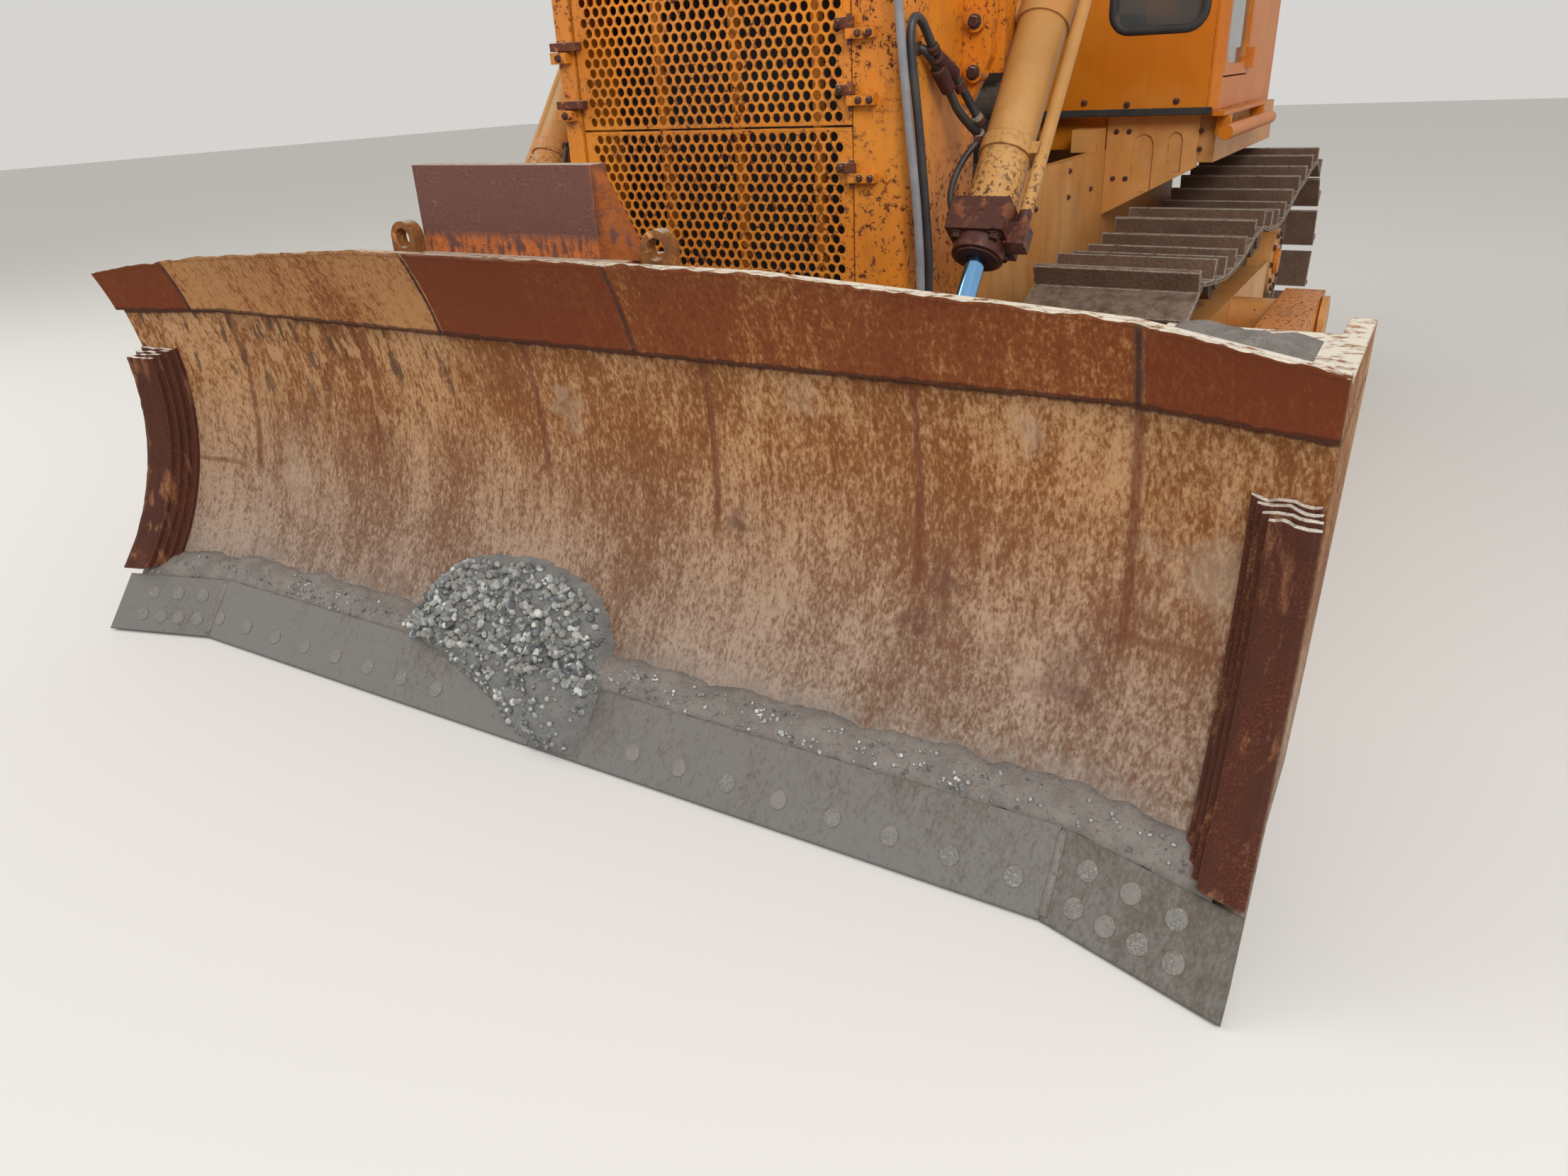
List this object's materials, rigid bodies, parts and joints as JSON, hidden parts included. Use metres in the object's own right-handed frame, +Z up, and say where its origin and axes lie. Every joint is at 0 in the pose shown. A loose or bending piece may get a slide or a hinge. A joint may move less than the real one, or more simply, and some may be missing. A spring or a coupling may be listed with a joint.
{
  "type": "crawler bulldozer",
  "caption": "Crawler bulldozer with a curved straight blade on push arms, hinged perforated radiator doors, lift cylinders and a closed cab over the tracks.",
  "frame": {"origin": "on the ground under the middle of the whole machine", "axes": "+Z up, the blade faces -Y, the machine's own left side is +X"},
  "size_m": [3.994, 6.6013, 3.24],
  "materials": {
    "orange_paint": "faded gloss",
    "tan_paint": "faded",
    "rusted_plate": "rusted",
    "worn_steel": "scoured",
    "track_steel": "dusty",
    "dark_iron": "oily",
    "chromed_rod": "polished",
    "window_glass": "clear",
    "hose_rubber": "dusty",
    "black_vinyl": "worn"
  },
  "bodies": {
    "tractor": {"trunnion_brackets": "orange_paint", "radiator_guard": "orange_paint", "radiator_core": "dark_iron", "main_frame": "orange_paint", "engine": "dark_iron", "hood": "orange_paint", "exhaust_stack": "dark_iron", "air_cleaner": "orange_paint", "track_rollers": "track_steel", "carrier_rollers": "track_steel", "idlers": "track_steel", "sprockets": "track_steel", "final_drives": "orange_paint", "cross_beams": "orange_paint", "track_frames": "orange_paint", "left_track": "track_steel", "right_track": "track_steel", "fenders": "orange_paint", "cab_floor": "orange_paint", "cab_front_wall": "orange_paint", "cab_rear_wall": "orange_paint", "cab_side_walls": "orange_paint", "cab_roof": "orange_paint", "cab_glass": "window_glass", "seat": "black_vinyl", "controls": "dark_iron", "fuel_tank": "orange_paint", "rear_case": "orange_paint", "drawbar": "worn_steel", "front_hoses": "hose_rubber"},
    "blade": {"moldboard": "rusted_plate", "top_wear_strip": "rusted_plate", "cutting_edges": "worn_steel", "end_bits": "worn_steel", "side_wear_strips": "rusted_plate", "top_box": "rusted_plate", "lifting_eyes": "rusted_plate", "push_arms": "orange_paint", "blade_braces": "orange_paint", "rod_brackets": "rusted_plate"},
    "left_barrel": {"left_lift_barrel": "tan_paint"},
    "right_barrel": {"right_lift_barrel": "tan_paint"},
    "left_rod": {"left_lift_rod": "chromed_rod"},
    "right_rod": {"right_lift_rod": "chromed_rod"},
    "upper_grille": {"upper_grille_door": "orange_paint"},
    "lower_grille": {"lower_grille_door": "orange_paint"},
    "left_door": {"left_cab_door": "orange_paint", "left_door_glass": "window_glass"},
    "right_door": {"right_cab_door": "orange_paint", "right_door_glass": "window_glass"}
  },
  "joints": [
    {"name": "blade_lift", "type": "hinge", "parent": "tractor", "child": "blade", "pos_m": [0, 0.7235, 0.6], "axis": [-1, 0, 0], "range_deg": [-7.5, 16.5]},
    {"name": "left_barrel_swing", "type": "hinge", "parent": "tractor", "child": "left_barrel", "pos_m": [0.9, -1.4075, 1.929], "axis": [-1, 0, 0], "range_deg": [-10.6, 23.2]},
    {"name": "left_rod_slide", "type": "slide", "parent": "left_barrel", "child": "left_rod", "axis": [0, -0.6268, -0.7791], "range_m": [-0.722, 0.33]},
    {"name": "right_barrel_swing", "type": "hinge", "parent": "tractor", "child": "right_barrel", "pos_m": [-0.9, -1.4075, 1.929], "axis": [-1, 0, 0], "range_deg": [-10.6, 23.2]},
    {"name": "right_rod_slide", "type": "slide", "parent": "right_barrel", "child": "right_rod", "axis": [0, -0.6268, -0.7791], "range_m": [-0.722, 0.33]},
    {"name": "upper_grille_swing", "type": "hinge", "parent": "tractor", "child": "upper_grille", "pos_m": [0.519, -2.0021, 1.84], "axis": [0, 0, -1], "range_deg": [-100, 0]},
    {"name": "lower_grille_swing", "type": "hinge", "parent": "tractor", "child": "lower_grille", "pos_m": [0.519, -2.0021, 1.33], "axis": [0, 0, -1], "range_deg": [-28, 0]},
    {"name": "left_door_swing", "type": "hinge", "parent": "tractor", "child": "left_door", "pos_m": [1.114, 1.1255, 2.33], "axis": [0, 0, -1], "range_deg": [-105, 0]},
    {"name": "right_door_swing", "type": "hinge", "parent": "tractor", "child": "right_door", "pos_m": [-1.114, 1.1255, 2.33], "axis": [0, 0, 1], "range_deg": [-105, 0]}
  ],
  "couplings": [
    {"joint": "left_barrel_swing", "follows": "blade_lift", "ratio": 1.4},
    {"joint": "left_rod_slide", "follows": "blade_lift", "m_per_rad": -2.5},
    {"joint": "right_barrel_swing", "follows": "blade_lift", "ratio": 1.4},
    {"joint": "right_rod_slide", "follows": "blade_lift", "m_per_rad": -2.5}
  ]
}
